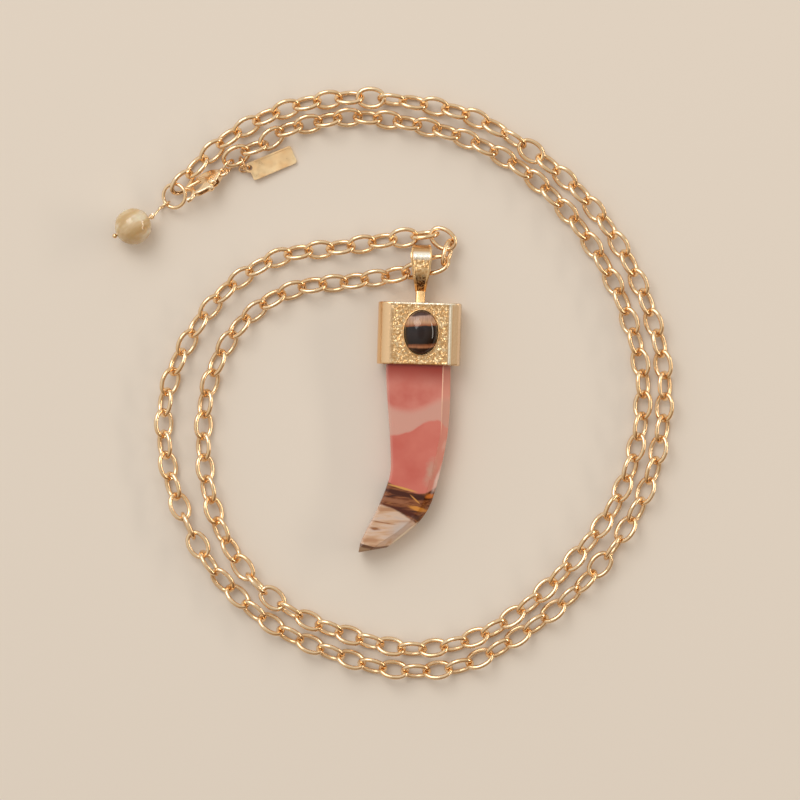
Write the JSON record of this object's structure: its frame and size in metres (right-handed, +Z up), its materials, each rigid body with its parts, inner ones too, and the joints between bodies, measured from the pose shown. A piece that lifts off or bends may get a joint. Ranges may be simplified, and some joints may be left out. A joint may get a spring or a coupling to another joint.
{
  "type": "pendant necklace",
  "caption": "Curved tusk pendant of banded glassy stone in a cast cap with an oval cabochon and bail, on a long oval-link chain with clasp, bead drop and bare tag, laid in a doubled loop.",
  "frame": {"origin": "centre of the bounding box in X and Y, on the surface the necklace lies on", "axes": "+X to the right across the tooth, +Y from the tooth's tip towards the bail, +Z up from the surface"},
  "size_m": [0.123, 0.1302, 0.0105],
  "materials": {
    "banded_stone": "polished",
    "cap_metal": "hammered and polished",
    "cabochon_stone": "polished",
    "chain_metal": "polished plating",
    "clasp_metal": "polished plating",
    "bead_stone": "polished"
  },
  "bodies": {
    "necklace": {"tooth": "banded_stone", "cap": "cap_metal", "cabochon": "cabochon_stone", "chain_outer": "chain_metal", "chain_inner": "chain_metal", "jump_ring": "chain_metal", "bead": "bead_stone", "head_pin": "chain_metal", "clasp_body": "clasp_metal", "clasp_ring": "chain_metal", "tag_ring_upper": "chain_metal", "tag_ring_lower": "chain_metal", "tag": "clasp_metal"},
    "lever": {"clasp_lever": "clasp_metal"}
  },
  "joints": [
    {"name": "clasp_lever_hinge", "type": "hinge", "parent": "necklace", "child": "lever", "pos_m": [-0.03958, 0.04404, 0.0034], "axis": [0.3085, -0.6423, -0.7017], "range_deg": [0, 26], "stiffness_Nm_per_rad": 0.0004, "springref_deg": -5.73}
  ]
}
